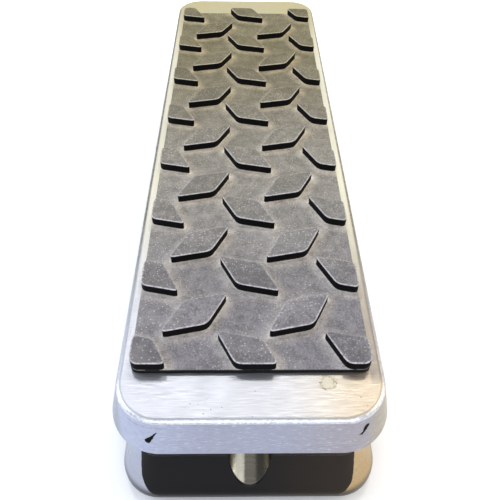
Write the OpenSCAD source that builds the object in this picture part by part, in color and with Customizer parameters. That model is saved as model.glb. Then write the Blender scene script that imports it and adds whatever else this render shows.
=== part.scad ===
// Rocker pedal for a guitar: a cast foot plate rocks on a cross shaft in a flared base
// and turns a volume control through a toothed sector and a small pinion.
// Millimetres. +Z is up, +Y runs from the heel end to the toe end, +X is to the right.
// The origin is on the floor, under the middle of the pedal.

/* [View] */

/* [Foot plate] */
// Width of the foot plate at its top edge
treadle_w = 88; // [80:1:100]
// Length of the foot plate at its top edge
treadle_l = 294; // [270:1:310]
// Height of the foot plate's top face above the floor
treadle_z = 62; // [58:1:70]
// Thickness of the foot plate
plate_t = 3; // [2:0.5:5]
// Depth of the skirt, from the top face to its lower edge
skirt_d = 19; // [16:0.5:26]
// Thickness of the skirt wall at its top
skirt_t = 2; // [1.5:0.5:4]
// How far the skirt leans out by its lower edge
skirt_draft = 3.6; // [0:0.1:5]
// How much higher the skirt's lower edge is at the two ends than at the pivot
skirt_rise = 3.9; // [0:0.1:6]
// Plan radius of the foot plate's corners
treadle_r = 15; // [10:1:24]
// Radius of the rounded top edge
edge_r = 2; // [1:0.5:4]

/* [Tread pad] */
// Width of the rubber pad
pad_w = 79; // [70:0.5:88]
// Length of the rubber pad
pad_l = 253.5; // [240:0.1:275]
// Bare metal left between the heel edge of the plate and the pad
pad_margin = 16.9; // [10:0.1:30]
// Thickness of the pad's backing sheet
sheet_t = 2; // [1:0.5:3]
// Height of the raised tread blocks above the sheet
block_h = 3.8; // [1:0.1:5]
// Plan radius of the pad's corners
pad_r = 3; // [0.5:0.5:6]
// Distance between the first two rows of blocks, next to the heel
row_pitch = 32.2; // [25:0.1:45]
// Growth of that distance, row by row towards the toe: each row k adds k * k times this
row_growth = 0.37; // [0:0.01:0.5]
// Distance between neighbouring columns of blocks
col_pitch = 18.2; // [15:0.1:25]
// Run of a block's long edge, across and along the pad
block_run = [15.8, 3.3];
// Run of a block's slanted edge, across and along the pad
block_side = [6.9, 13.1];
// Height of the first corner of each column above the heel edge of the pad
first_row = 12.6; // [5:0.5:25]
// Distance of the middle column's first corners from the pad's left edge
first_col = 27.7; // [20:0.1:35]
// How far the blocks that lean right are set off from the common grid
right_shift = [-0.6, -0.8];
// How far each corner of a block is cut back
block_ease = 2.2; // [1:0.1:3]

/* [Base] */
// Half width and half length of the base wall above the flare
base_top = [40.5, 140.3];
// Half width and half length of the base at its lower rim
base_foot = [48.25, 148.05];
// Plan radius of the base's corners above the flare
base_r = 7; // [5:0.5:12]
// Height of the lower rim above the floor
rim_z = 4; // [2:0.5:6]
// Height at which the flare meets the upright wall
flare_z = 21.5; // [16:0.5:26]
// Radius that blends the rim into the flare
rim_blend = 6; // [2:0.5:8]
// Thickness of the base wall
wall_t = 4; // [3:0.5:6]
// Height of the wall's top edge at the ends and beside the pivot
wall_top = [40, 50];
// Radius of the round recess in the middle of each end
scoop_r = 8.1; // [5:0.1:10]
// Height of the lowest point of that recess
scoop_z = 9.8; // [8:0.1:14]

/* [Pivot] */
// Height of the pivot axis above the floor
pivot_z = 49; // [45:0.5:52]
// Radius of the pivot shaft
shaft_r = 4; // [3:0.5:5]
// Radial running clearance in the bushings
run_gap = 0.04; // [0.02:0.01:0.1]
// Length of the pivot shaft
shaft_l = 92; // [88:0.5:94]
// Swing of the foot plate each way from level, in degrees
swing = 7; // [4:0.5:8]

/* [Volume control drive] */
// Gear module of the sector and the pinion
gear_m = 0.8; // [0.5:0.1:1]
// Teeth of a full circle with the sector's pitch radius
sector_teeth = 225; // [150:1:300]
// Teeth of the pinion
pinion_teeth = 15; // [12:1:20]
// Teeth cut on the sector, an odd number
cut_teeth = 11; // [9:2:15]
// Angle of the gear mesh below level, seen from the pivot, in degrees
mesh_a = 10; // [5:1:15]
// Thinning of each tooth so that the gears turn freely
tooth_gap = 0.06; // [0.02:0.01:0.12]

/* [Jacks] */
// Distance of the jacks from the pivot, towards the toe
jack_y = 30; // [20:1:45]
// Height of the jack axes above the floor
jack_z = 19.5; // [18:0.5:22]
// Radius of the jack bore, for a 6.35 mm plug
jack_bore_r = 3.2; // [3.18:0.01:3.3]

/* [Hidden] */
$fn = 48;
plate_under = treadle_z - plate_t;
skirt_z = treadle_z - skirt_d;
half_w = treadle_w / 2;
half_l = treadle_l / 2;
pad_y0 = -half_l + pad_margin;
flare_out = base_foot[0] - base_top[0];
base_cx = base_top[0] - base_r;
base_cy = base_top[1] - base_r;
foot_r = base_r + flare_out;
flare_h = flare_z - rim_z - 3;
flare_len = sqrt(flare_out * flare_out + flare_h * flare_h);
sector_r = gear_m * sector_teeth / 2;
pinion_r = gear_m * pinion_teeth / 2;
pot_y = (sector_r + pinion_r) * cos(mesh_a);
pot_z = pivot_z - (sector_r + pinion_r) * sin(mesh_a);
pad_face_x = 46.3;
plate_z = rim_z + 0.5;
plate_top = plate_z + 1.5;
rib_y = 118;
back_w = 26;
back_y = 131;
rib_x = 30;
rib_t = 3;
rib_h = 6;
rib_half = 110;
foot_y = 118;
foot_x = 32;
post_y = [-131, 0, 131];
stop_x = 20;
stop_r = 4.2;
stop_tip_r = 3.2;
// the plate's underside stays half a millimetre clear of the stops at full swing
stop_h = pivot_z + (plate_under - pivot_z) / cos(swing) - (rib_y + stop_tip_r) * tan(swing)
    - 0.5 - wall_top[0];
bracket_x = -27;
bracket_y = [88, 101];
lug_x = 22.5;
lug_w = 13;
boss_x = 36.75;
boss_w = 8.5;
flange_y = 64;
flange_x = 5.5;
flange_t = 2.5;
seat_t = 4;
socket_r = 9.2;
tag_z = jack_z - 0.3;
lug_end_z = pot_z - 16;
wire_r = 0.7;
silver = [0.78, 0.79, 0.82];
steel = [0.62, 0.63, 0.65];
zinc = [0.72, 0.72, 0.70];
brass = [0.80, 0.66, 0.36];
rubber = [0.16, 0.16, 0.16];
black = [0.08, 0.08, 0.08];

// ---------- shared shapes ----------

// A flat rectangle with round corners, centred on the origin.
module round_rect(w, l, r) {
    square([w - 2 * r, l], center = true);
    square([w, l - 2 * r], center = true);
    for (sx = [-1, 1], sy = [-1, 1]) {
        translate([sx * (w / 2 - r), sy * (l / 2 - r)]) circle(r);
    }
}

// Carries a wall section round a rectangle whose corner centres are at cx and cy.
// The section's x is the distance outwards from the corner centre and its y is height.
module around(cx, cy) {
    for (i = [0:3]) {
        sx = (i == 0 || i == 3) ? 1 : -1;
        sy = i < 2 ? 1 : -1;
        translate([sx * cx, sy * cy, 0]) rotate([0, 0, 90 * i]) rotate_extrude(angle = 90) children();
    }
    for (a = [0, 180]) {
        rotate([0, 0, a]) {
            translate([cx, cy, 0]) rotate([90, 0, 0]) linear_extrude(2 * cy) children();
            translate([-cx, cy, 0]) rotate([90, 0, 90]) linear_extrude(2 * cx) children();
        }
    }
}

// A cylinder along +X that starts at x0.
module rod_x(x0, len, r) {
    translate([x0, 0, 0]) rotate([0, 90, 0]) cylinder(r = r, h = len);
}

// Draws a side-view sketch (y along the pedal, z up) as a slab from x0, t thick.
module slab_x(x0, t) {
    translate([x0, 0, 0]) rotate([90, 0, 90]) linear_extrude(t) children();
}

// A hexagon nut along +Z, centred on the axis, with a round hole.
module nut(across, h, hole_r) {
    difference() {
        cylinder(d = across / cos(30), h = h, $fn = 6);
        translate([0, 0, -1]) cylinder(r = hole_r, h = h + 2);
    }
}

// A pan-head screw that points up +Z, its head below z = 0, with a cross slot.
module pan_screw(r, len, head_r, head_h) {
    cylinder(r = r, h = len);
    difference() {
        union() {
            translate([0, 0, -head_h * 0.6]) cylinder(r = head_r, h = head_h * 0.6);
            translate([0, 0, -head_h]) cylinder(r1 = head_r * 0.8, r2 = head_r, h = head_h * 0.4);
        }
        for (a = [0, 90]) {
            rotate([0, 0, a]) translate([-head_r * 0.55, -0.4, -head_h - 1]) {
                cube([head_r * 1.1, 0.8, 1 + head_h * 0.55]);
            }
        }
    }
}

// Rounds a path: each inner corner becomes two points, a quarter of the way along its sides.
function softened(p) = concat(
    [p[0]],
    [for (i = [1:len(p) - 2]) each [p[i] * 0.75 + p[i - 1] * 0.25, p[i] * 0.75 + p[i + 1] * 0.25]],
    [p[len(p) - 1]]
);

// A round wire along a list of points, with softened bends.
module wire(points, r) {
    path = softened(points);
    for (i = [0:len(path) - 2]) {
        hull() {
            translate(path[i]) sphere(r = r, $fn = 10);
            translate(path[i + 1]) sphere(r = r, $fn = 10);
        }
    }
}

// ---------- foot plate and what moves with it ----------

module treadle_section() {
    cr = treadle_r;
    polygon([
        [0, skirt_z], [cr + skirt_draft, skirt_z], [cr, treadle_z - edge_r],
        [cr - edge_r, treadle_z - edge_r], [cr - edge_r, treadle_z], [0, treadle_z]
    ]);
    translate([cr - edge_r, treadle_z - edge_r]) circle(edge_r);
}

// The space under the foot plate; its sides lean with the skirt.
module treadle_hollow_section() {
    cr = treadle_r - skirt_t;
    lean = skirt_draft / (skirt_d - edge_r);
    low = skirt_z - 1;
    polygon([[0, low], [cr + lean * (plate_under - low), low], [cr, plate_under], [0, plate_under]]);
}

module treadle() {
    cx = half_w - treadle_r;
    cy = half_l - treadle_r;
    end_y = half_l + skirt_draft + 1;
    color(silver) difference() {
        union() {
            difference() {
                union() {
                    around(cx, cy) treadle_section();
                    translate([-cx, -cy, skirt_z]) cube([2 * cx, 2 * cy, skirt_d]);
                }
                around(cx, cy) treadle_hollow_section();
                translate([-cx, -cy, skirt_z - 1]) cube([2 * cx, 2 * cy, plate_under - skirt_z + 1]);
                // the lower edge rises towards both ends
                for (a = [0, 180]) {
                    rotate([0, 0, a]) slab_x(-half_w - 5, treadle_w + 10) {
                        polygon([[20, skirt_z - 1], [end_y, skirt_z - 1], [end_y, skirt_z + skirt_rise],
                                 [20, skirt_z]]);
                    }
                }
            }
            // lugs that clamp the shaft
            for (s = [-1, 1]) {
                translate([s * lug_x - lug_w / 2, 0, 0]) {
                    translate([0, 0, pivot_z]) rod_x(0, lug_w, 8);
                    translate([0, -8, pivot_z]) cube([lug_w, 16, plate_under - pivot_z + 0.5]);
                }
                // long stiffening ribs
                translate([s * rib_x - rib_t / 2, -rib_half, plate_under - rib_h]) {
                    cube([rib_t, 2 * rib_half, rib_h + 0.5]);
                }
            }
            // seat for the toothed sector
            translate([-10, flange_y - 14, plate_under - seat_t]) cube([20, 28, seat_t + 0.5]);
        }
        translate([0, 0, pivot_z]) rod_x(-50, 100, shaft_r);
        for (s = [-1, 1]) {
            translate([s * lug_x, -9, pivot_z]) rotate([-90, 0, 0]) cylinder(r = 2, h = 9);
            translate([s * flange_x, flange_y, plate_under - 5]) cylinder(r = 1.5, h = 6.5);
        }
    }
}

// Corner points of one tread block; lean is 1 for a block that leans right, -1 for left.
function block_corners(lean) = lean > 0
    ? [[0, 0], block_run, block_run + block_side, block_side]
    : [[0, 0], [block_side[0], -block_side[1]],
       [block_side[0] + block_run[0], -block_side[1] - block_run[1]], [block_run[0], -block_run[1]]];

// The same outline with each corner cut back along a short curve.
function eased(p, t) = [
    for (i = [0:len(p) - 1])
        let (a = p[(i + len(p) - 1) % len(p)], b = p[i], c = p[(i + 1) % len(p)])
        let (u = b + (a - b) / norm(a - b) * t, v = b + (c - b) / norm(c - b) * t)
        for (q = [u, (u + 2 * b + v) / 4, v]) q
];

module tread_pad() {
    top = treadle_z + sheet_t;
    color(rubber) translate([-pad_w / 2, pad_y0, 0]) {
        translate([pad_w / 2, pad_l / 2, treadle_z]) linear_extrude(sheet_t) {
            round_rect(pad_w, pad_l, pad_r);
        }
        intersection() {
            translate([pad_w / 2, pad_l / 2, top - 0.5]) linear_extrude(block_h + 0.5) {
                round_rect(pad_w, pad_l, pad_r);
            }
            for (c = [0:4]) {
                lean = (c % 2 == 1) ? 1 : -1;
                last = lean > 0 ? 6 : 7;
                for (k = [0:last]) {
                    at = [first_col + (c - 2) * col_pitch, first_row + k * row_pitch + k * k * row_growth]
                        + (lean > 0 ? right_shift : [0, 0]);
                    translate([at[0], at[1], top - 0.5]) {
                        linear_extrude(block_h + 0.5) polygon(eased(block_corners(lean), block_ease));
                    }
                }
            }
        }
    }
}

module pivot_shaft() {
    chamfer = 0.6;
    color(steel) translate([0, 0, pivot_z]) {
        rod_x(-shaft_l / 2 + chamfer, shaft_l - 2 * chamfer, shaft_r);
        for (s = [0, 180]) {
            rotate([0, 0, s]) translate([shaft_l / 2 - chamfer, 0, 0]) rotate([0, 90, 0]) {
                cylinder(r1 = shaft_r, r2 = shaft_r - chamfer, h = chamfer);
            }
        }
    }
}

module shaft_set_screws() {
    color(black) for (s = [-1, 1]) {
        translate([s * lug_x, -9, pivot_z]) rotate([-90, 0, 0]) difference() {
            cylinder(r = 2, h = 9 - shaft_r);
            translate([0, 0, -1]) cylinder(r = 1.1, h = 3, $fn = 6);
        }
    }
}

// ---------- gears ----------

function inv_deg(a) = tan(a) * 180 / PI - a;

// Half of a tooth's angle at radius r, for a gear with n teeth.
function tooth_half(n, r) =
    let (rp = gear_m * n / 2, rb = rp * cos(20))
    let (at_pitch = 90 / n - tooth_gap / 2 / rp * 180 / PI)
    let (a = r > rb ? acos(rb / r) : 0)
    at_pitch + inv_deg(20) - inv_deg(a);

// A point at radius r and angle a, in degrees.
function polar(r, a) = [r * cos(a), r * sin(a)];

// Outline of one tooth on a gear with n teeth, from root to tip and back, centred on angle at.
function tooth_points(n, root, tip, at) =
    let (low = max(gear_m * n / 2 * cos(20), root), steps = 4)
    let (rs = [for (i = [0:steps]) low + (tip - low) * i / steps])
    concat(
        low > root ? [polar(root, at - tooth_half(n, low))] : [],
        [for (r = rs) polar(r, at - tooth_half(n, r))],
        [for (i = [steps:-1:0]) polar(rs[i], at + tooth_half(n, rs[i]))],
        low > root ? [polar(root, at + tooth_half(n, low))] : []
    );

module sector_gear() {
    root = sector_r - gear_m * 1.25;
    step = 360 / sector_teeth;
    half = (cut_teeth - 1) / 2;
    span = (half + 0.6) * step;
    rim_in = sector_r - 10;
    flange_z = plate_under - seat_t - pivot_z;
    color(steel) translate([0, 0, pivot_z]) {
        slab_x(-1.5, 3) {
            // web from the flange to the toothed rim
            polygon(concat(
                [[58, -6], polar(rim_in, -mesh_a - span), polar(root, -mesh_a - span)],
                [for (k = [-half:half], q = tooth_points(
                    sector_teeth, root, sector_r + gear_m * 0.85, k * step - mesh_a)) q],
                [polar(root, -mesh_a + span), [80, flange_z - 1], [54, flange_z - 1]]
            ));
        }
        difference() {
            translate([-9, flange_y - 12, flange_z - flange_t]) cube([18, 26, flange_t]);
            for (s = [-1, 1]) {
                translate([s * flange_x, flange_y, flange_z - 3]) cylinder(r = 1.6, h = 4);
            }
        }
    }
}

module sector_screws() {
    color(zinc) for (s = [-1, 1]) {
        translate([s * flange_x, flange_y, plate_under - seat_t - flange_t]) pan_screw(1.5, 7.5, 2.7, 1.8);
    }
}

module pinion() {
    root = pinion_r - gear_m * 1.25;
    step = 360 / pinion_teeth;
    color(brass) translate([0, pot_y, pot_z]) difference() {
        union() {
            // a gap, not a tooth, faces the sector
            slab_x(-3, 6) polygon([
                for (k = [0:pinion_teeth - 1], q = tooth_points(
                    pinion_teeth, root, pinion_r + gear_m, 180 - mesh_a + (k + 0.5) * step)) q
            ]);
            rod_x(3, 5, 4.7);
        }
        rod_x(-4, 14, 3);
        translate([5.5, 0, 2]) cylinder(r = 1.1, h = 5);
    }
}

module pinion_set_screw() {
    color(black) translate([5.5, pot_y, pot_z + 3]) difference() {
        cylinder(r = 1.1, h = 1.8);
        translate([0, 0, 0.8]) cylinder(r = 0.6, h = 2, $fn = 6);
    }
}

// ---------- base ----------

// Wall section of the base, thinned by inset, from height z0.
module base_section(inset, z0, z1) {
    nr = flare_h / flare_len;
    nz = flare_out / flare_len;
    cr = foot_r - rim_blend;
    zc = flare_z - (cr + rim_blend * nr - base_r) * nr / nz - rim_blend * nz;
    difference() {
        union() {
            polygon([
                [0, z0], [foot_r - inset, z0], [foot_r - inset, zc],
                [cr + rim_blend * nr - inset, zc + rim_blend * nz],
                [base_r - inset, flare_z], [base_r - inset, z1], [0, z1]
            ]);
            if (inset == 0) translate([cr, zc]) circle(rim_blend);
        }
        translate([-1, z0 - 20]) square([40, 20]);
    }
}

module base_solid(inset, z0, z1) {
    around(base_cx, base_cy) base_section(inset, z0, z1);
    translate([-base_cx, -base_cy, z0]) cube([2 * base_cx, 2 * base_cy, z1 - z0]);
}

// The recess in one end: a round channel that runs out through the flared face.
module scoop_cut() {
    face_a = atan(flare_out / flare_h);
    up = scoop_r / sin(face_a);
    tip_y = base_top[1] + (flare_z - scoop_z) * tan(face_a);
    cy = tip_y - up * sin(face_a);
    cz = scoop_z + up * cos(face_a);
    intersection() {
        union() {
            // slopes outwards and down, twice as far from upright as the flared face
            translate([0, cy, cz]) rotate([2 * face_a - 180, 0, 0]) {
                translate([0, 0, -20]) cylinder(r = scoop_r, h = 60);
            }
            translate([0, cy, cz]) cylinder(r = scoop_r, h = 30);
        }
        translate([-20, base_top[1] - 6.3, scoop_z - 5]) cube([40, 40, 50]);
    }
}

module base_housing() {
    color(silver) difference() {
        union() {
            intersection() {
                difference() {
                    base_solid(0, rim_z, 58);
                    translate([0, 0, -1]) base_solid(wall_t, rim_z, 60);
                }
                union() {
                    slab_x(-60, 120) polygon([
                        [-160, 0], [160, 0], [160, wall_top[0]], [base_top[1], wall_top[0]],
                        [0, wall_top[1]], [-base_top[1], wall_top[0]], [-160, wall_top[0]]
                    ]);
                    translate([0, 0, pivot_z]) rod_x(-60, 120, 8);
                }
            }
            for (s = [-1, 1]) {
                // inner bosses that lengthen the pivot bores
                translate([0, 0, pivot_z]) rod_x(s * boss_x - boss_w / 2, boss_w, 8);
                translate([s * boss_x - boss_w / 2, -8, 38]) cube([boss_w, 16, 11]);
                // cross ribs that carry the rubber stops
                translate([-base_top[0] + 1, s * rib_y - 5, 12]) {
                    cube([2 * base_top[0] - 2, 10, wall_top[0] - 12]);
                }
                // metal behind the end recesses
                intersection() {
                    base_solid(0, rim_z, 58);
                    translate([-back_w / 2, s > 0 ? back_y : -back_y - 20, 8]) {
                        cube([back_w, 20, wall_top[0] - 8.5]);
                    }
                }
                // flat faces for the jacks
                intersection() {
                    slab_x(s > 0 ? 36 : -pad_face_x, pad_face_x - 36) {
                        translate([jack_y, jack_z]) circle(11.5);
                        translate([jack_y - 11.5, plate_top]) square([23, jack_z - plate_top]);
                    }
                    translate([-60, 0, plate_top]) cube([120, 60, 50]);
                }
                // posts for the bottom plate screws
                for (y = post_y) {
                    translate([s * foot_x, y, plate_top]) cylinder(r = 5, h = 24);
                    translate([s > 0 ? foot_x : -foot_x - 7, y - 2, plate_top]) cube([7, 4, 24]);
                }
            }
        }
        for (s = [-1, 1]) {
            translate([0, 0, pivot_z]) rod_x(s * boss_x - 10, 20, 5.5);
            translate([0, jack_y, jack_z]) rod_x(s > 0 ? 40 : -60, 20, 4.8);
            translate([0, jack_y, jack_z]) rod_x(s > 0 ? 30 : -43.3, 13.3, socket_r + 0.3);
            rotate([0, 0, s > 0 ? 0 : 180]) scoop_cut();
            for (y = post_y) {
                translate([s * foot_x, y, plate_top - 1]) cylinder(r = 1.5, h = 13);
            }
            for (y = [-rib_y, rib_y]) {
                translate([s * stop_x, y, wall_top[0] - 6]) cylinder(r = 1.75, h = 8);
            }
        }
    }
}

module pivot_bushings() {
    color([0.85, 0.83, 0.76]) for (a = [0, 180]) {
        rotate([0, 0, a]) translate([0, 0, pivot_z]) difference() {
            union() {
                rod_x(32.5, 8, 5.5);
                rod_x(base_top[0], 1, 7.4);
            }
            rod_x(30, 14, shaft_r + run_gap);
        }
    }
}

module stop_bumpers() {
    color(rubber) for (x = [-stop_x, stop_x], y = [-rib_y, rib_y]) {
        translate([x, y, wall_top[0]]) {
            cylinder(r = stop_r, h = stop_h - 1);
            translate([0, 0, stop_h - 1]) cylinder(r1 = stop_r, r2 = stop_tip_r, h = 1);
            translate([0, 0, -6]) cylinder(r = 1.75, h = 6);
        }
    }
}

module bottom_plate() {
    r = foot_r - wall_t - 0.5;
    color(steel) difference() {
        translate([0, 0, plate_z]) linear_extrude(1.5) {
            round_rect(2 * (base_cx + r), 2 * (base_cy + r), r);
        }
        for (x = [-foot_x, foot_x]) {
            for (y = post_y) translate([x, y, 0]) cylinder(r = 1.7, h = 20);
            for (y = [-foot_y, foot_y]) translate([x, y, 0]) cylinder(r = 2.1, h = 20);
        }
        for (y = bracket_y) translate([bracket_x, y, 0]) cylinder(r = 1.7, h = 20);
    }
}

module plate_screws() {
    color(zinc) for (x = [-foot_x, foot_x], y = post_y) {
        translate([x, y, plate_z]) pan_screw(1.5, 11, 2.8, 1.8);
    }
}

module rubber_feet() {
    color(black) for (x = [-foot_x, foot_x], y = [-foot_y, foot_y]) {
        translate([x, y, 0]) difference() {
            union() {
                cylinder(r1 = 7.4, r2 = 8, h = 1);
                translate([0, 0, 1]) cylinder(r = 8, h = plate_z - 1);
            }
            translate([0, 0, -1]) cylinder(r = 4.4, h = 3.4);
            cylinder(r = 2.1, h = 10);
        }
    }
}

module feet_screws() {
    color(zinc) for (x = [-foot_x, foot_x], y = [-foot_y, foot_y]) {
        translate([x, y, 2.4]) pan_screw(2, 8.2, 3.8, 1.9);
    }
}

module feet_nuts() {
    color(zinc) for (x = [-foot_x, foot_x], y = [-foot_y, foot_y]) {
        translate([x, y, plate_top]) nut(7, 3.2, 2);
    }
}

// ---------- volume control ----------

module pot_bracket() {
    color(zinc) difference() {
        union() {
            translate([-14, pot_y - 12, plate_top]) cube([2, 24, pot_z + 10 - plate_top]);
            translate([-34, pot_y - 12, plate_top]) cube([21, 24, 2]);
        }
        translate([0, pot_y, pot_z]) rod_x(-20, 10, 3.55);
        for (y = bracket_y) translate([bracket_x, y, 0]) cylinder(r = 1.7, h = 20);
    }
}

module bracket_screws() {
    color(zinc) for (y = bracket_y) {
        translate([bracket_x, y, plate_z]) pan_screw(1.5, 7, 2.8, 1.8);
    }
}

module bracket_nuts() {
    color(zinc) for (y = bracket_y) {
        translate([bracket_x, y, plate_top + 2]) nut(5.5, 2.4, 1.5);
    }
}

module pot_body() {
    color([0.45, 0.45, 0.47]) translate([0, pot_y, pot_z]) difference() {
        union() {
            rod_x(-25, 11, 8.5);
            translate([-20, -6, -10.5]) cube([2, 12, 8]);
        }
        rod_x(-22.3, 20, 3.05);
    }
}

module pot_bush() {
    color(brass) translate([0, pot_y, pot_z]) difference() {
        rod_x(-14, 8, 3.5);
        rod_x(-15, 10, 3.05);
    }
}

module pot_washer() {
    color(zinc) translate([0, pot_y, pot_z]) difference() {
        rod_x(-12, 0.6, 5.6);
        rod_x(-13, 4, 3.6);
    }
}

module pot_nut() {
    color(zinc) translate([-11.4, pot_y, pot_z]) rotate([0, 90, 0]) nut(10, 2.2, 3.5);
}

module pot_lugs() {
    color(brass) for (y = [-4.5, 0, 4.5]) {
        translate([-19.3, pot_y + y - 0.9, lug_end_z]) cube([0.6, 1.8, 5.5]);
    }
}

module pot_shaft() {
    color(steel) translate([0, pot_y, pot_z]) rod_x(-22, 31, 3);
}

// ---------- jacks ----------

// One plug socket, drawn on the right side; its bore opens towards +X.
module socket_housing() {
    color(black) translate([0, jack_y, jack_z]) difference() {
        intersection() {
            translate([18, -8, -8]) cube([23.8, 16, 16]);
            rod_x(17, 26, socket_r);
        }
        rod_x(33, 20, 4.7);
        rod_x(20, 20, 3.6);
    }
}

module socket_sleeve() {
    color(zinc) translate([0, jack_y, jack_z]) difference() {
        union() {
            rod_x(34, 16.5, 4.7);
            rod_x(41.8, 1.5, 8);
        }
        rod_x(30, 30, jack_bore_r);
    }
}

module input_jack() {
    socket_housing();
}

module input_jack_sleeve() {
    socket_sleeve();
}

module output_jack() {
    mirror([1, 0, 0]) socket_housing();
}

module output_jack_sleeve() {
    mirror([1, 0, 0]) socket_sleeve();
}

module jack_washers() {
    color(steel) for (s = [-1, 1]) {
        translate([0, jack_y, jack_z]) difference() {
            rod_x(s > 0 ? pad_face_x : -pad_face_x - 0.6, 0.6, 7.4);
            rod_x(s * 48 - 5, 10, 4.8);
        }
    }
}

module jack_nuts() {
    color(zinc) for (s = [-1, 1]) {
        translate([s > 0 ? pad_face_x + 0.6 : -pad_face_x - 3.1, jack_y, jack_z]) {
            rotate([0, 90, 0]) nut(12.7, 2.5, 4.7);
        }
    }
}

module jack_contacts() {
    color(brass) for (s = [-1, 1], y = [-4, 4]) {
        translate([s > 0 ? 12 : -18, jack_y + y - 1.25, tag_z]) cube([6, 2.5, 0.6]);
    }
}

// ---------- wires ----------

// Each wire starts against the underside of a socket tag and ends under a lug of the control.

module input_wire() {
    color([0.72, 0.12, 0.10]) wire([
        [13.5, jack_y + 4, tag_z - wire_r], [13.5, jack_y + 6, 9], [4, 48, 8.2], [-8, 60, 8.2],
        [-17, 72, 8.8], [-18, 84, 10.5], [-19, pot_y - 4.5, 12.5],
        [-19, pot_y - 4.5, lug_end_z - wire_r]
    ], wire_r);
}

module output_wire() {
    color([0.90, 0.90, 0.88]) wire([
        [-13.5, jack_y + 4, tag_z - wire_r], [-13.5, jack_y + 8, 9], [-22, 60, 8.4],
        [-22, 78, 9.6], [-22, pot_y, 12], [-19, pot_y, lug_end_z - wire_r]
    ], wire_r);
}

module ground_wire() {
    color([0.10, 0.10, 0.12]) wire([
        [-13.5, jack_y - 4, tag_z - wire_r], [-13.5, jack_y - 6, 9], [-31, 44, 8.2],
        [-36.5, 60, 8.2], [-37.5, 92, 9], [-36.5, 107, 11.5], [-26, pot_y + 6.5, 13],
        [-19, pot_y + 4.5, lug_end_z - wire_r]
    ], wire_r);
}

treadle();
tread_pad();
pivot_shaft();
shaft_set_screws();
sector_gear();
sector_screws();
base_housing();
pivot_bushings();
stop_bumpers();
bottom_plate();
plate_screws();
rubber_feet();
feet_screws();
feet_nuts();
pot_bracket();
bracket_screws();
bracket_nuts();
pot_body();
pot_bush();
pot_washer();
pot_nut();
pot_lugs();
pot_shaft();
pinion();
pinion_set_screw();
input_jack();
input_jack_sleeve();
output_jack();
output_jack_sleeve();
jack_washers();
jack_nuts();
jack_contacts();
input_wire();
output_wire();
ground_wire();
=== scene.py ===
"""Looks for the rocker pedal: camera, studio, materials and the detailed rubber tread."""

import math
import random

import bmesh
import bpy
from mathutils import Matrix, Vector


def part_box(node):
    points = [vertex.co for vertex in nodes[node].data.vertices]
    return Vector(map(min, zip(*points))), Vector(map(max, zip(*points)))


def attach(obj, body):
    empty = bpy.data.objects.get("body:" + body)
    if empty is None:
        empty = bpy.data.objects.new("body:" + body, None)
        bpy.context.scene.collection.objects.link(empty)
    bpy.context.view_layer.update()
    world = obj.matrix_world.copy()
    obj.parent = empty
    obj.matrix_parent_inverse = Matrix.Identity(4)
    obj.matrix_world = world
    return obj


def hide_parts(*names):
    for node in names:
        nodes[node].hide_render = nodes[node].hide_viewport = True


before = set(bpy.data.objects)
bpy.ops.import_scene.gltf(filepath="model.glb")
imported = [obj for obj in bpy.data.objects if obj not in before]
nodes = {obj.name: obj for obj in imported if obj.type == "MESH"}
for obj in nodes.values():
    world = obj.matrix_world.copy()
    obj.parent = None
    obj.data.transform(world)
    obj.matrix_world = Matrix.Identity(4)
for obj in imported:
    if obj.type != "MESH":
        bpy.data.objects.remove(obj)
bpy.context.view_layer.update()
scene = bpy.context.scene
MM = 0.001


# ---------- places taken from the frame ----------

_, plate_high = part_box("treadle")
pad_low, pad_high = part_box("tread_pad")
_, base_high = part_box("base_housing")
PLATE_TOP = plate_high[2]
HEEL_MARGIN = 16.9 * MM                # bare metal between the pad and the heel edge
HEEL_EDGE = pad_low[1] - HEEL_MARGIN


# ---------- camera ----------

def add_camera():
    """Stands behind the heel end and looks down along the pedal."""
    behind, above, aside = 79.3 * MM, 171.1 * MM, -4 * MM
    yaw, pitch, roll = math.radians(-1.46), math.radians(43.07), math.radians(1.15)
    data = bpy.data.cameras.new("camera")
    data.sensor_width = 36
    data.lens = 41.23
    data.shift_y = -0.117
    data.clip_start = 0.01
    cam = bpy.data.objects.new("camera", data)
    scene.collection.objects.link(cam)
    turn = (Matrix.Rotation(yaw, 4, "Z") @ Matrix.Rotation(math.pi / 2 - pitch, 4, "X")
            @ Matrix.Rotation(roll, 4, "Z"))
    cam.matrix_world = Matrix.Translation((aside, HEEL_EDGE - behind, PLATE_TOP + above)) @ turn
    scene.camera = cam


add_camera()


# ---------- node helpers ----------

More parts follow.
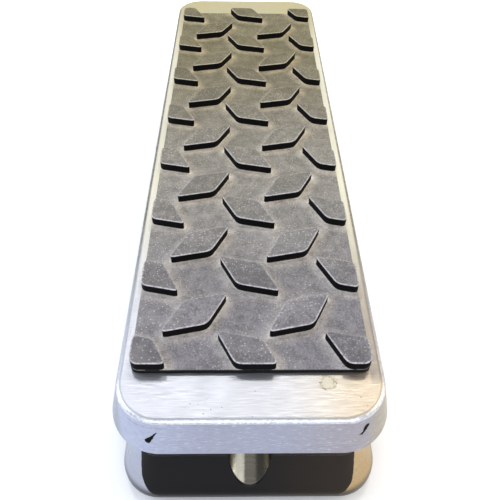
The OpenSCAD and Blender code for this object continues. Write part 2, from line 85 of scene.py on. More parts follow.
class Graph:
    """Short forms for building one material's nodes."""

    def __init__(self, name):
        self.mat = bpy.data.materials.new(name)
        self.mat.use_nodes = True
        self.tree = self.mat.node_tree
        self.tree.nodes.clear()
        self.out = self.add("ShaderNodeOutputMaterial")
        self.coords = self.add("ShaderNodeTexCoord")

    def add(self, kind, **settings):
        node = self.tree.nodes.new(kind)
        for key, value in settings.items():
            setattr(node, key, value)
        return node

    def put(self, socket, value):
        """Joins a node's output to a socket, or sets the socket's own value."""
        if isinstance(value, bpy.types.NodeSocket):
            self.tree.links.new(value, socket)
        else:
            socket.default_value = value

    def math(self, kind, a, b=0.0):
        node = self.add("ShaderNodeMath", operation=kind)
        self.put(node.inputs[0], a)
        self.put(node.inputs[1], b)
        return node.outputs[0]

    def scaled(self, factors, vector=None):
        node = self.add("ShaderNodeVectorMath", operation="MULTIPLY")
        self.put(node.inputs[0], vector or self.coords.outputs["Object"])
        node.inputs[1].default_value = factors
        return node.outputs[0]

    def axes(self, vector=None):
        node = self.add("ShaderNodeSeparateXYZ")
        self.put(node.inputs[0], vector or self.coords.outputs["Object"])
        return node.outputs

    def noise(self, scale, detail=3.0, rough=0.55, vector=None):
        node = self.add("ShaderNodeTexNoise")
        self.put(node.inputs["Vector"], vector or self.coords.outputs["Object"])
        node.inputs["Scale"].default_value = scale
        node.inputs["Detail"].default_value = detail
        node.inputs["Roughness"].default_value = rough
        return node.outputs["Fac"]

    def cells(self, scale):
        """Distance to the nearest of many scattered points."""
        node = self.add("ShaderNodeTexVoronoi", feature="F1")
        self.put(node.inputs["Vector"], self.coords.outputs["Object"])
        node.inputs["Scale"].default_value = scale
        return node.outputs["Distance"]

    def band(self, value, low, high, to_low=0.0, to_high=1.0, smooth=True):
        """Maps low..high to to_low..to_high, held outside that range."""
        node = self.add("ShaderNodeMapRange", interpolation_type="SMOOTHSTEP" if smooth else "LINEAR")
        self.put(node.inputs["Value"], value)
        for key, v in (("From Min", low), ("From Max", high), ("To Min", to_low), ("To Max", to_high)):
            self.put(node.inputs[key], v)
        return node.outputs["Result"]

    def mix(self, factor, a, b):
        """A colour that goes from a to b as the factor goes from 0 to 1."""
        node = self.add("ShaderNodeMix", data_type="RGBA", blend_type="MIX")
        sockets = [s for s in node.inputs if s.enabled]
        self.put(sockets[0], factor)
        self.put(sockets[1], a if not isinstance(a, tuple) else (*a, 1.0))
        self.put(sockets[2], b if not isinstance(b, tuple) else (*b, 1.0))
        return [s for s in node.outputs if s.enabled][0]

    def between(self, factor, a, b):
        """A number that goes from a to b as the factor goes from 0 to 1."""
        node = self.add("ShaderNodeMix", data_type="FLOAT")
        sockets = [s for s in node.inputs if s.enabled]
        self.put(sockets[0], factor)
        self.put(sockets[1], a)
        self.put(sockets[2], b)
        return [s for s in node.outputs if s.enabled][0]

    def length(self, u, v):
        """The length of the flat vector (u, v)."""
        squares = self.math("ADD", self.math("MULTIPLY", u, u), self.math("MULTIPLY", v, v))
        return self.math("SQRT", squares)

    def reach(self, u, v, centre):
        """Distance from a point in a plane, where u and v are the plane's two coordinates."""
        return self.length(self.math("SUBTRACT", u, centre[0]), self.math("SUBTRACT", v, centre[1]))

    def wedge(self, pos, start, tip, width, ragged):
        """1 inside a mark on an X-Z face that narrows from start to tip, else 0."""
        way = Vector(tip) - Vector(start)
        unit = way.normalized()
        du, dv = self.math("SUBTRACT", pos["X"], start[0]), self.math("SUBTRACT", pos["Z"], start[1])
        along = self.math("ADD", self.math("MULTIPLY", du, unit.x), self.math("MULTIPLY", dv, unit.y))
        held = self.math("MAXIMUM", self.math("MINIMUM", along, way.length), 0.0)
        off_u = self.math("SUBTRACT", du, self.math("MULTIPLY", held, unit.x))
        off_v = self.math("SUBTRACT", dv, self.math("MULTIPLY", held, unit.y))
        away = self.length(off_u, off_v)
        allowed = self.band(held, 0.0, way.length, width, width * 0.12, smooth=False)
        return self.band(self.math("SUBTRACT", self.math("ADD", away, ragged), allowed), 0.1 * MM, -0.1 * MM)

    def attribute(self, name):
        return self.add("ShaderNodeAttribute", attribute_name=name).outputs["Fac"]

    def bump(self, height, distance, strength=1.0, normal=None):
        node = self.add("ShaderNodeBump")
        node.inputs["Strength"].default_value = strength
        node.inputs["Distance"].default_value = distance
        self.put(node.inputs["Height"], height)
        if normal:
            self.put(node.inputs["Normal"], normal)
        return node.outputs["Normal"]

    def surface(self, color, rough, normal=None, metallic=0.0, **extra):
        """Finishes the material with one principled shader."""
        shader = self.add("ShaderNodeBsdfPrincipled")
        self.put(shader.inputs["Base Color"], color if not isinstance(color, tuple) else (*color, 1.0))
        self.put(shader.inputs["Roughness"], rough)
        self.put(shader.inputs["Metallic"], metallic)
        for key, value in extra.items():
            self.put(shader.inputs[key.replace("_", " ")], value)
        if normal:
            self.put(shader.inputs["Normal"], normal)
        self.put(self.out.inputs["Surface"], shader.outputs[0])
        return self.mat


def dress(material, *names):
    """Gives CAD nodes a material."""
    for name in names:
        mesh = nodes[name].data
        mesh.materials.clear()
        mesh.materials.append(material)


# ---------- metals ----------

def brushed_aluminium():
    """Worn cast plate: level brush dashes on the skirt, lengthways ones on top, pits, nicks and a smudge."""
    g = Graph("brushed_aluminium")
    pos = g.axes()
    up = g.math("ABSOLUTE", g.axes(g.coords.outputs["Normal"])["Z"])
    flat = g.band(up, 0.90, 0.98)
    skirt = g.band(up, 0.55, 0.35)
    level = g.noise(1.0, 4, 0.6, g.scaled((260, 260, 3800)))
    dash = g.noise(1.0, 3, 0.6, g.scaled((420, 420, 4200)))
    long_marks = g.noise(1.0, 4, 0.6, g.scaled((160, 2600, 160)))
    grain = g.between(flat, level, long_marks)
    broad = g.noise(22, 4)
    # painted reflection: the top is bluish on the left and in the middle and straw-coloured on the right,
    # tinted as by the cool and warm lamps
    top = g.mix(g.band(pos["X"], 6 * MM, 40 * MM), (0.355, 0.36, 0.385), (0.40, 0.345, 0.27))
    # a darker strip by the right edge near the heel
    strip = g.math("MULTIPLY", g.band(pos["X"], 38.5 * MM, 39.5 * MM), g.band(pos["Y"], -0.136, -0.130))
    top = g.mix(strip, top, (0.22, 0.195, 0.17))
    # painted reflection: the top turns pale cream towards the middle and straw-coloured towards the toe
    top = g.mix(g.band(pos["Y"], -0.12, -0.03), top, (0.56, 0.54, 0.44))
    top = g.mix(g.band(pos["Y"], 0.06, 0.142), top, (0.355, 0.32, 0.18))
    # painted reflection on the skirt: bluish on the left, darker blue at the far left edge, lavender in the
    # middle, warm brown on the right
    low = g.mix(g.band(pos["X"], -40 * MM, -12 * MM), (0.37, 0.41, 0.54), (0.31, 0.33, 0.42))
    low = g.mix(g.band(pos["X"], 4 * MM, 34 * MM), low, (0.31, 0.295, 0.33))
    low = g.mix(g.band(pos["X"], 35 * MM, 42 * MM), low, (0.34, 0.30, 0.235))
    low = g.mix(g.band(pos["X"], -41 * MM, -44 * MM), low, (0.27, 0.285, 0.35))
    color = g.mix(skirt, top, low)
    color = g.mix(g.math("MULTIPLY", g.band(broad, 0.4, 0.75), 0.15), color, (0.36, 0.35, 0.36))
    # painted highlight and shade on the rounded edges: pale where they face the heel, grey at the sides near
    # the heel and dark brown towards the toe, broken up by speckle
    edge = g.math("MULTIPLY", g.math("SUBTRACT", 1.0, flat), g.math("SUBTRACT", 1.0, skirt))
    speckle = g.band(g.noise(1.0, 4, 0.7, g.scaled((900, 900, 500))), 0.40, 0.60, 0.55, 1.0)
    facing = g.band(g.axes(g.coords.outputs["Normal"])["Y"], -0.05, -0.3)
    sides = g.mix(g.band(pos["Y"], -0.125, -0.05), (0.50, 0.50, 0.53), (0.17, 0.15, 0.12))
    edge_highlight_shade = g.mix(facing, sides, (0.80, 0.82, 0.87))
    color = g.mix(g.math("MULTIPLY", edge, speckle), color, edge_highlight_shade)
    pale = g.math("MULTIPLY", g.band(dash, 0.58, 0.72), g.math("MULTIPLY", skirt, 0.7))
    color = g.mix(pale, color, (0.72, 0.74, 0.82))
    dull = g.math("MULTIPLY", g.band(dash, 0.44, 0.34), g.math("MULTIPLY", skirt, 0.45))
    color = g.mix(dull, color, (0.20, 0.21, 0.28))
    pits = g.band(g.cells(520), 0.06, 0.13, 1, 0)
    pits = g.math("MULTIPLY", pits, g.band(g.noise(60, 2), 0.5, 0.62))
    color = g.mix(g.math("MULTIPLY", pits, 0.75), color, (0.16, 0.15, 0.15))
    # old adhesive mark on the heel margin
    uneven = g.math("MULTIPLY", g.math("SUBTRACT", g.noise(420, 4, 0.7), 0.5), 5.0 * MM)
    away = g.math("ADD", g.reach(pos["X"], pos["Y"], (24.8 * MM, -133.6 * MM)), uneven)
    stain = g.band(away, 3.0 * MM, 2.6 * MM)
    rim = g.math("MULTIPLY", stain, g.band(away, 1.5 * MM, 2.6 * MM))
    color = g.mix(g.math("MULTIPLY", stain, 0.45), color, (0.34, 0.325, 0.24))
    patchy = g.band(g.noise(1500, 2), 0.42, 0.55, 0.2, 0.8)
    color = g.mix(g.math("MULTIPLY", rim, patchy), color, (0.15, 0.14, 0.10))
    # nicks in the heel skirt, their insides near-black as painted shade, and a scratch under its top edge
    ragged = g.math("MULTIPLY", g.math("SUBTRACT", g.noise(1600, 3), 0.5), 0.8 * MM)
    heel = g.band(pos["Y"], -0.140, -0.141)
    nick = g.wedge(pos, (-32.6 * MM, 52.7 * MM), (-29.6 * MM, 57.0 * MM), 0.95 * MM, ragged)
    comma = g.wedge(pos, (36.2 * MM, 57.4 * MM), (35.0 * MM, 54.1 * MM), 0.9 * MM, ragged)
    spur = g.wedge(pos, (35.2 * MM, 54.9 * MM), (33.9 * MM, 54.3 * MM), 0.5 * MM, ragged)
    shaded_nick = g.math("MULTIPLY", g.math("MAXIMUM", nick, g.math("MAXIMUM", comma, spur)), heel)
    # painted shade: the nicks' insides go near-black
    color = g.mix(shaded_nick, color, (0.006, 0.007, 0.008))
    line = g.band(g.math("ABSOLUTE", g.math("SUBTRACT", pos["Z"], 59 * MM)), 0.26 * MM, 0.1 * MM)
    line = g.math("MULTIPLY", line, g.band(pos["X"], -25 * MM, -30 * MM))
    line = g.math("MULTIPLY", g.math("MULTIPLY", line, heel), g.band(g.noise(320, 2), 0.42, 0.6, 0.1, 0.6))
    color = g.mix(line, color, (0.16, 0.16, 0.18))
    rough = g.between(flat, g.band(grain, 0.3, 0.7, 0.30, 0.46), g.band(grain, 0.3, 0.7, 0.38, 0.54))
    rough = g.math("ADD", rough, g.math("MULTIPLY", shaded_nick, 0.4))
    fine = g.bump(grain, 0.00006, 0.5)
    normal = g.bump(g.math("SUBTRACT", 1.0, g.math("MAXIMUM", pits, shaded_nick)), 0.00015, 0.7, fine)
    return g.surface(color, rough, normal, 1.0)


def base_aluminium():
    """Polished base: bare metal, with a near-black field of painted shade with round corners on each end."""
    g = Graph("base_aluminium")
    pos = g.axes()
    across = g.math("ABSOLUTE", g.math("ADD", pos["X"], 0.6 * MM))
    along = g.math("ABSOLUTE", pos["Y"])
    high = pos["Z"]
    # the field is a rounded rectangle seen from the end
    half, low, top, r = 39 * MM, 5.4 * MM, 37 * MM, 8.5 * MM
    mid, tall = (low + top) / 2, (top - low) / 2
    dx = g.math("SUBTRACT", across, half - r)
    dz = g.math("SUBTRACT", g.math("ABSOLUTE", g.math("SUBTRACT", high, mid)), tall - r)
    ox, oz = g.math("MAXIMUM", dx, 0.0), g.math("MAXIMUM", dz, 0.0)
    gap = g.length(ox, oz)
    wobble = g.math("MULTIPLY", g.math("SUBTRACT", g.noise(300, 2), 0.5), 0.5 * MM)
    field = g.band(g.math("ADD", gap, wobble), r, r - 0.15 * MM, 0, 1, smooth=False)
    # only on the outer skin: the recess and the inside stay bare
    skin = g.band(high, 8.3 * MM, 21.5 * MM, base_high[1] - 0.75 * MM, 140.3 * MM, smooth=False)
    corner = g.math("MAXIMUM", g.math("SUBTRACT", g.math("ABSOLUTE", pos["X"]), 33.5 * MM), 0.0)
    radius = g.math("SUBTRACT", skin, 133.3 * MM)
    arc = g.math("SQRT", g.math("MAXIMUM", g.math("SUBTRACT", g.math("MULTIPLY", radius, radius),
                                                  g.math("MULTIPLY", corner, corner)), 0.0))
    depth = g.math("SUBTRACT", g.math("ADD", arc, 133.3 * MM), along)
    outer = g.band(depth, 0.45 * MM, 0.35 * MM, 0, 1, smooth=False)
    painted_shade_field = g.math("MULTIPLY", field, outer)
    brush = g.noise(1.0, 4, 0.6, g.scaled((30, 30, 2600)))
    broad = g.noise(25, 4)
    specks = g.band(g.cells(500), 0.05, 0.11, 1, 0)
    specks = g.math("MULTIPLY", specks, g.band(g.noise(80, 2), 0.5, 0.6))
    # painted reflection: the bare metal is bluish on the left and tan on the right, fading to neutral grey
    # away from the ends
    metal = g.mix(g.band(pos["X"], -8 * MM, 20 * MM), (0.36, 0.385, 0.47), (0.44, 0.32, 0.17))
    metal = g.mix(g.band(along, 133 * MM, 122 * MM), metal, (0.42, 0.415, 0.40))
    metal = g.mix(g.math("MULTIPLY", g.band(broad, 0.4, 0.7), 0.3), metal, (0.45, 0.44, 0.42))
    # painted shade in the recess: dark olive, with a painted highlight in a cream streak left of its middle
    recess = g.math("MULTIPLY", g.band(across, 9.2 * MM, 8.7 * MM), g.band(depth, 0.3 * MM, 0.5 * MM))
    lit = g.band(g.math("ABSOLUTE", g.math("ADD", pos["X"], 4.6 * MM)), 3.2 * MM, 1.2 * MM)
    metal = g.mix(g.math("MULTIPLY", recess, 0.95), metal,
                  g.mix(lit, (0.048, 0.044, 0.031), (0.85, 0.80, 0.62)))
    # painted shade: the metal goes near-black towards the foot
    metal = g.mix(g.band(high, 9.5 * MM, 5.5 * MM, 0.0, 0.97), metal, (0.020, 0.018, 0.017))
    metal = g.mix(g.math("MULTIPLY", specks, 0.7), metal, (0.20, 0.17, 0.14))
    # painted shade: the end field is near-black, a little warmer on the right
    painted_shade_color = g.mix(g.band(pos["X"], -0.01, 0.04), (0.0035, 0.0035, 0.004), (0.022, 0.015, 0.010))
    color = g.mix(painted_shade_field, metal, painted_shade_color)
    rough = g.between(painted_shade_field, g.band(brush, 0.3, 0.7, 0.20, 0.34), 0.22)
    normal = g.bump(brush, 0.00003, 0.35)
    return g.surface(color, rough, normal, g.math("SUBTRACT", 1.0, painted_shade_field), Specular_IOR_Level=0.13)


def plain_metal(name, light, dark, rough_low, rough_high, scale=600, stretch=(1, 1, 1)):
    """Machined or plated metal with faint marks, stains and a fine grain."""
    g = Graph(name)
    grain = g.noise(scale, 4, 0.6, g.scaled(stretch))
    stain = g.noise(120, 5, 0.6)
    color = g.mix(g.band(stain, 0.35, 0.72), dark, light)
    rough = g.band(grain, 0.3, 0.7, rough_low, rough_high)
    return g.surface(color, rough, g.bump(grain, 0.00002, 0.4), 1.0)


# ---------- rubber and plastics ----------

def tread_rubber():
    """Old dark rubber: grey bloom on the tops, pale dust round the blocks, rubbed edges with a painted
    highlight on those facing the heel, black sides pushed near-black as painted shade.
    """
    g = Graph("tread_rubber")
    dust = g.attribute("dust")
    wear_and_highlight = g.attribute("wear_and_highlight")
    side = g.attribute("side")
    tone = g.attribute("tone")
    grit = g.noise(1500, 3, 0.65)
    mottled = g.noise(260, 4, 0.65)
    cloud = g.noise(45, 5, 0.6)
    along = g.axes()["Y"]
    # bloom: cooler near the heel, browner towards the toe
    mid = g.band(along, -0.12, -0.04)
    far = g.band(along, -0.07, 0.08)
    dark = g.mix(far, g.mix(mid, (0.092, 0.088, 0.094), (0.130, 0.123, 0.110)), (0.090, 0.080, 0.048))
    light = g.mix(far, g.mix(mid, (0.215, 0.206, 0.222), (0.275, 0.262, 0.236)), (0.185, 0.163, 0.103))
    fleck = g.math("ADD", g.math("MULTIPLY", mottled, 0.45), g.math("MULTIPLY", grit, 0.55))
    fleck = g.math("ADD", fleck, g.math("MULTIPLY", tone, 0.5))
    color = g.mix(g.band(fleck, 0.38, 0.72), dark, light)
    haze = g.mix(far, (0.270, 0.262, 0.268), (0.230, 0.205, 0.135))
    color = g.mix(g.math("MULTIPLY", g.band(cloud, 0.45, 0.75), 0.35), color, haze)
    # dust settles unevenly where blocks meet the sheet
    powder = g.mix(far, g.mix(mid, (0.56, 0.52, 0.48), (0.66, 0.59, 0.50)), (0.60, 0.50, 0.31))
    broken = g.band(g.math("ADD", g.math("MULTIPLY", mottled, 0.6), g.math("MULTIPLY", grit, 0.4)),
                    0.34, 0.66, 0.35, 1.0)
    lie = g.math("MULTIPLY", dust, broken)
    color = g.mix(lie, color, powder)
    specks = g.math("MULTIPLY", g.band(g.cells(900), 0.15, 0.25, 1, 0), g.band(cloud, 0.4, 0.6, 0.3, 0.9))
    color = g.mix(g.math("MULTIPLY", specks, 0.62), color, powder)
    # rubbed block edges, brighter on those facing the heel as painted highlight
    wear_highlight_color = g.mix(far, (0.50, 0.48, 0.50), (0.48, 0.44, 0.33))
    color = g.mix(g.math("MULTIPLY", wear_and_highlight, g.band(grit, 0.35, 0.6, 0.35, 1.0)), color, wear_highlight_color)
    # painted shade: the sides of the blocks and the sheet go near-black
    color = g.mix(side, color, (0.004, 0.004, 0.004))
    rough = g.band(mottled, 0.3, 0.7, 0.6, 0.85)
    normal = g.bump(g.math("ADD", mottled, grit), 0.00010, 0.5)
    return g.surface(color, rough, normal, Specular_IOR_Level=0.08)


def soft_plastic(name, light, dark, rough_low, rough_high, scale=260, relief=0.00004):
    """Moulded rubber, nylon or plastic with a fine uneven skin."""
    g = Graph(name)
    skin = g.noise(scale * 6, 3, 0.6)
    patch = g.noise(scale, 4, 0.6)
    color = g.mix(g.band(patch, 0.35, 0.7), dark, light)
    rough = g.band(patch, 0.3, 0.7, rough_low, rough_high)
    return g.surface(color, rough, g.bump(skin, relief, 0.5))


# ---------- the rubber tread ----------

PAD_RADIUS = 3 * MM
SHEET = 2 * MM
ROW_PITCH, ROW_GROWTH, COL_PITCH = 32.2 * MM, 0.37 * MM, 18.2 * MM
BLOCK_RUN = Vector((15.8, 3.3)) * MM
BLOCK_SIDE = Vector((6.9, 13.1)) * MM
FIRST_BLOCK = Vector((27.7, 12.6)) * MM  # from the pad's left and heel edges, in the middle column
RIGHT_SHIFT = Vector((-0.6, -0.8)) * MM
BEVEL = 0.24 * MM
BLOCK_EASE = 2.2 * MM        # how far each corner of a block is cut back before it is rounded
DUST_SPREAD = 4.6 * MM       # the soft margin of dust round a block
DUST_LINE = 1.0 * MM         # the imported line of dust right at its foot


def pad_outline():
    """The pad's outline, anticlockwise, with round corners."""
    steps = 6
    x0, y0, x1, y1 = pad_low[0], pad_low[1], pad_high[0], pad_high[1]
    corners = [(x1 - PAD_RADIUS, y1 - PAD_RADIUS, 0), (x0 + PAD_RADIUS, y1 - PAD_RADIUS, 90),
               (x0 + PAD_RADIUS, y0 + PAD_RADIUS, 180), (x1 - PAD_RADIUS, y0 + PAD_RADIUS, 270)]
    points = []
    for cx, cy, start in corners:
        for i in range(steps + 1):
            a = math.radians(start + 90 * i / steps)
            points.append(Vector((cx + PAD_RADIUS * math.cos(a), cy + PAD_RADIUS * math.sin(a))))
    return points


def clipped(points, fence):
    """The part of a convex outline that lies inside a convex, anticlockwise fence."""
    for i, a in enumerate(fence):
        b = fence[(i + 1) % len(fence)]
        edge = b - a
        if edge.length < 1e-9:
            continue
        normal = Vector((-edge.y, edge.x)).normalized()
        kept = []
        for j, p in enumerate(points):
            q = points[(j + 1) % len(points)]
            dp, dq = (p - a).dot(normal), (q - a).dot(normal)
            if dp >= 0:
                kept.append(p)
            if (dp >= 0) != (dq >= 0):
                kept.append(p.lerp(q, dp / (dp - dq)))
        points = kept
        if not points:
            return []
    return tidy(points)


def tidy(points, gap=0.05 * MM):
    """Drops points that sit on top of their neighbour."""
    kept = []
    for p in points:
        if not kept or (p - kept[-1]).length > gap:
            kept.append(p)
    while len(kept) > 2 and (kept[0] - kept[-1]).length <= gap:
        kept.pop()
    return kept


def eased(points, cut, steps=4):
    """The same outline with each corner rounded on a short curve."""
    out = []
    for i, b in enumerate(points):
        a, c = points[i - 1], points[(i + 1) % len(points)]
        ra = min(cut, (a - b).length * 0.45)
        rc = min(cut, (c - b).length * 0.45)
        u, v = b + (a - b).normalized() * ra, b + (c - b).normalized() * rc
        for k in range(steps + 1):
            t = k / steps
            out.append(u * (1 - t) ** 2 + b * 2 * t * (1 - t) + v * t ** 2)
    return tidy(out)


def shrunk(points, by):
    """A convex, anticlockwise outline with every side moved inwards, point for point."""
    n = len(points)
    centre = sum(points, Vector((0, 0))) / n
    sides = []
    for i, a in enumerate(points):
        edge = points[(i + 1) % n] - a
        outward = Vector((edge.y, -edge.x)).normalized()
        sides.append((outward, (a - centre).dot(outward)))
    by = min(by, 0.7 * min(d for _, d in sides))
    out = []
    for p in points:
        ray = p - centre
        reach = 1.0
        for outward, d in sides:
            run = ray.dot(outward)
            if run > 1e-9:
                reach = min(reach, (d - by) / run)
        out.append(centre + ray * reach)
    return out


def block_outlines():
    """The outline of every tread block, anticlockwise, cut off at the pad's edge."""
    fence = pad_outline()
    right = [Vector((0, 0)), BLOCK_RUN, BLOCK_RUN + BLOCK_SIDE, BLOCK_SIDE]
    down_side = Vector((BLOCK_SIDE.x, -BLOCK_SIDE.y))
    down_run = Vector((BLOCK_RUN.x, -BLOCK_RUN.y))
    left = [Vector((0, 0)), down_side, down_side + down_run, down_run]
    found = []
    for col in range(5):
        leans_right = col % 2 == 1
        rows = 7 if leans_right else 8
        for row in range(rows):
            step = Vector(((col - 2) * COL_PITCH, row * ROW_PITCH + row * row * ROW_GROWTH))
            at = Vector(pad_low[:2]) + FIRST_BLOCK + step + (RIGHT_SHIFT if leans_right else Vector((0, 0)))
            shape = clipped([p + at for p in (right if leans_right else left)], fence)
            if len(shape) > 2:
                found.append(eased(shape, BLOCK_EASE))
    return found


def distance_to(point, outline):
    """How far a point lies outside a convex outline; 0 inside it."""
    inside = True
    best = 1e9
    for i, a in enumerate(outline):
        b = outline[(i + 1) % len(outline)]
        edge = b - a
        t = max(0.0, min(1.0, (point - a).dot(edge) / max(edge.length_squared, 1e-12)))
        best = min(best, (point - a - edge * t).length)
        if edge.x * (point.y - a.y) - edge.y * (point.x - a.x) < 0:
            inside = False
    return 0.0 if inside else best


def build_tread():
    """The whole pad as one closed skin per block and one for the sheet, with dust, wear with its painted
    highlight, and painted shade on the sides painted in.
    """
    rng = random.Random(7)
    bm = bmesh.new()
    dust = bm.verts.layers.float.new("dust")
    wear_and_highlight = bm.verts.layers.float.new("wear_and_highlight")
    side = bm.verts.layers.float.new("side")
    tone = bm.verts.layers.float.new("tone")
    sheet_top = pad_low[2] + SHEET
    top = pad_high[2]
    blocks = block_outlines()

    def ring(outline, z, d=0.0, w=0.0, s=0.0, t=0.0):
        made = []
        for i, p in enumerate(outline):
            edge = outline[(i + 1) % len(outline)] - outline[i - 1]
            facing = edge.x / edge.length       # 1 where the edge faces the heel, where the worn edge gets its strongest painted highlight
            v = bm.verts.new((p.x, p.y, z))
            v[dust], v[wear_and_highlight], v[side], v[tone] = d, w * (0.65 + 0.35 * facing), s, t
            made.append(v)
        return made

    def bridge(low, high):
        n = len(low)
        for i in range(n):
            bm.faces.new((low[i], low[(i + 1) % n], high[(i + 1) % n], high[i]))

    for outline in blocks:
        z = top - rng.uniform(0.0, 0.25) * MM
        t = rng.uniform(-0.12, 0.12)
        # the lower rings carry painted shade on the block sides, the top rings wear and its painted
        # highlight
        loops = [ring(outline, sheet_top - 0.3 * MM, 0.5, 0, 0.8, t),
                 ring(outline, sheet_top + 0.2 * MM, 0.3, 0, 0.9, t),
                 ring(outline, sheet_top + 0.5 * MM, 0, 0, 1, t),
                 ring(outline, z - BEVEL - 0.06 * MM, 0, 0, 1, t),
                 ring(outline, z - BEVEL, 0, 1, 0.15, t)]
        for k in (1, 2, 3):
            a = math.pi / 2 * k / 3
            inset = BEVEL * (1 - math.cos(a))
            loops.append(ring(shrunk(outline, inset), z - BEVEL * (1 - math.sin(a)), 0, 1, 0, t))
        for inset, w in ((0.4, 0.25), (0.7, 0.0), (2.2, 0.0), (3.8, 0.0)):
            loops.append(ring(shrunk(outline, inset * MM), z, 0, w, 0, t))
        for low, high in zip(loops, loops[1:]):
            bridge(low, high)
        last = loops[-1]
        mid = bm.verts.new(sum((v.co for v in last), Vector()) / len(last))
        mid[tone] = t
        for i in range(len(last)):
            bm.faces.new((last[i], last[(i + 1) % len(last)], mid))
        bm.faces.new(list(reversed(loops[0])))

    # the sheet: a fine grid on top, a skirt round it and a flat underside
    nx, ny = 104, 324
    grid = {}
    boxes = [(min(p.x for p in o), max(p.x for p in o),
              min(p.y for p in o), max(p.y for p in o)) for o in blocks]
    reach = 6 * MM
    for i in range(nx + 1):
        for j in range(ny + 1):
            x = pad_low[0] + (pad_high[0] - pad_low[0]) * i / nx
            y = pad_low[1] + (pad_high[1] - pad_low[1]) * j / ny
            p = Vector((x, y))
            near = reach
            for o, (x0, x1, y0, y1) in zip(blocks, boxes):
                if x0 - near < x < x1 + near and y0 - near < y < y1 + near:
                    near = min(near, distance_to(p, o))
            v = bm.verts.new((x, y, sheet_top))
            spread = max(0.0, 1 - near / DUST_SPREAD) ** 1.3
            v[dust] = 0.8 * spread + 0.6 * max(0.0, 1 - near / DUST_LINE)
            v[tone] = 0.12
            grid[i, j] = v
    r = PAD_RADIUS
    for (i, j), v in grid.items():
        # pull the square corners in to the round outline
        cx = min(max(v.co.x, pad_low[0] + r), pad_high[0] - r)
        cy = min(max(v.co.y, pad_low[1] + r), pad_high[1] - r)
        dx, dy = v.co.x - cx, v.co.y - cy
        if dx and dy:
            m = max(abs(dx), abs(dy)) / math.hypot(dx, dy)
            v.co.x, v.co.y = cx + dx * m, cy + dy * m
    for i in range(nx):
        for j in range(ny):
            bm.faces.new((grid[i, j], grid[i + 1, j], grid[i + 1, j + 1], grid[i, j + 1]))
    rim = ([grid[i, 0] for i in range(nx)] + [grid[nx, j] for j in range(ny)]
           + [grid[i, ny] for i in range(nx, 0, -1)] + [grid[0, j] for j in range(ny, 0, -1)])
    # the sheet's skirt carries painted shade on its sides
    soft = []
    for v in rim:
        w = bm.verts.new((v.co.x, v.co.y, sheet_top - 0.4 * MM))
        w[side] = 0.9
        soft.append(w)
    foot = []
    for v in rim:
        w = bm.verts.new((v.co.x, v.co.y, pad_low[2]))
        w[side] = 1.0
        w[dust] = 0.2
        foot.append(w)
    for a, b in ((soft, rim), (foot, soft)):
        bridge(a, b)
    bm.faces.new(list(reversed(foot)))

    mesh = bpy.data.meshes.new("rubber_tread")
    bm.normal_update()
    bm.to_mesh(mesh)
    bm.free()
    for poly in mesh.polygons:
        poly.use_smooth = True
    mesh.set_sharp_from_angle(angle=math.radians(50))
    obj = bpy.data.objects.new("rubber_tread", mesh)
    scene.collection.objects.link(obj)
    mesh.materials.append(tread_rubber())
    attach(obj, "rocker")
    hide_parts("tread_pad")


# ---------- studio ----------

def studio():
    bpy.ops.mesh.primitive_plane_add(size=8, location=(0, 0, 0))
    floor = bpy.context.object
    floor.name = "floor"
    g = Graph("pale_floor")
    tone = g.noise(3, 3)
    floor.data.materials.append(
        g.surface(g.mix(tone, (0.86, 0.86, 0.87), (0.90, 0.90, 0.90)), 0.65))

    world = bpy.data.worlds.new("studio")
    scene.world = world
    world.use_nodes = True
    world.node_tree.nodes["Background"].inputs["Color"].default_value = (0.86, 0.90, 1.0, 1)
    world.node_tree.nodes["Background"].inputs["Strength"].default_value = 0.7

    def lamp(name, place, target, size, power, color):
        data = bpy.data.lights.new(name, "AREA")
        data.shape = "RECTANGLE"
        data.size, data.size_y = size
        data.energy = power
        data.color = color
        obj = bpy.data.objects.new(name, data)
        scene.collection.objects.link(obj)
        obj.location = place
        obj.rotation_euler = (Vector(target) - Vector(place)).to_track_quat("-Z", "Y").to_euler()

    lamp("cool_side", (-1.3, 0.1, 0.9), (0, 0, 0.05), (1.0, 1.4), 14, (0.78, 0.86, 1.0))
    lamp("warm_side", (1.3, 0.1, 0.9), (0, 0, 0.05), (1.0, 1.4), 12, (1.0, 0.84, 0.60))
    lamp("far_wall", (0.3, 2.4, 0.9), (0, 0, 0.1), (3.0, 1.1), 20, (1.0, 0.96, 0.84))
    lamp("behind", (0.0, -1.5, 1.2), (0, 0, 0.06), (2.2, 0.9), 12, (0.95, 0.97, 1.0))
    lamp("overhead", (0.0, 0.75, 1.55), (0, -0.1, 0.06), (1.5, 0.8), 3.5, (0.97, 0.98, 1.0))
    lamp("left_spot", (-0.24, 0.40, 1.1), (-0.03, -0.13, 0.06), (0.12, 0.12), 2.4, (0.95, 0.97, 1.0))
    lamp("right_spot", (0.24, 0.40, 1.1), (0.03, -0.13, 0.06), (0.12, 0.12), 2.4, (1.0, 0.96, 0.84))


# ---------- dressing ----------

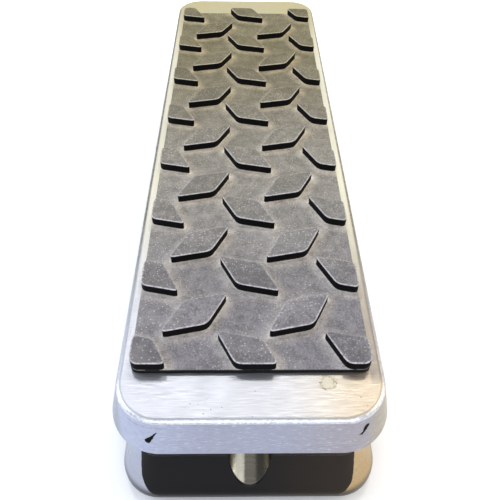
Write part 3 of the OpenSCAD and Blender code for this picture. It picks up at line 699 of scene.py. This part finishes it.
dress(brushed_aluminium(), "treadle")
dress(base_aluminium(), "base_housing")
dress(plain_metal("bright_steel", (0.66, 0.67, 0.69), (0.50, 0.50, 0.52), 0.18, 0.36),
      "pivot_shaft", "pot_shaft")
dress(plain_metal("sector_steel", (0.62, 0.63, 0.64), (0.44, 0.44, 0.45), 0.25, 0.45), "sector_gear")
dress(plain_metal("plate_steel", (0.62, 0.62, 0.60), (0.45, 0.45, 0.43), 0.30, 0.50, 60, (1, 30, 1)),
      "bottom_plate", "pot_bracket")
dress(plain_metal("zinc_plate", (0.74, 0.74, 0.72), (0.52, 0.51, 0.48), 0.20, 0.38),
      "sector_screws", "plate_screws", "feet_screws", "feet_nuts", "bracket_screws", "bracket_nuts",
      "pot_washer", "pot_nut", "jack_nuts", "jack_washers", "input_jack_sleeve", "output_jack_sleeve")
dress(plain_metal("black_steel", (0.07, 0.07, 0.08), (0.03, 0.03, 0.03), 0.35, 0.5),
      "shaft_set_screws", "pinion_set_screw")
dress(plain_metal("pot_can", (0.48, 0.49, 0.50), (0.36, 0.36, 0.37), 0.25, 0.4), "pot_body")
dress(plain_metal("brass", (0.78, 0.60, 0.28), (0.55, 0.38, 0.16), 0.22, 0.42),
      "pot_bush", "pinion", "pot_lugs", "jack_contacts")
dress(soft_plastic("nylon", (0.80, 0.77, 0.68), (0.66, 0.62, 0.52), 0.4, 0.6), "pivot_bushings")
dress(soft_plastic("foot_rubber", (0.045, 0.045, 0.045), (0.02, 0.02, 0.02), 0.6, 0.85),
      "rubber_feet", "stop_bumpers")
dress(soft_plastic("jack_plastic", (0.05, 0.05, 0.055), (0.028, 0.028, 0.03), 0.3, 0.5),
      "input_jack", "output_jack")
for wire, light, dark in (("input_wire", (0.55, 0.05, 0.04), (0.40, 0.03, 0.03)),
                          ("output_wire", (0.80, 0.79, 0.74), (0.66, 0.64, 0.58)),
                          ("ground_wire", (0.03, 0.03, 0.035), (0.015, 0.015, 0.02))):
    dress(soft_plastic(wire + "_skin", light, dark, 0.35, 0.5), wire)
build_tread()
studio()
scene.view_settings.view_transform = "Standard"
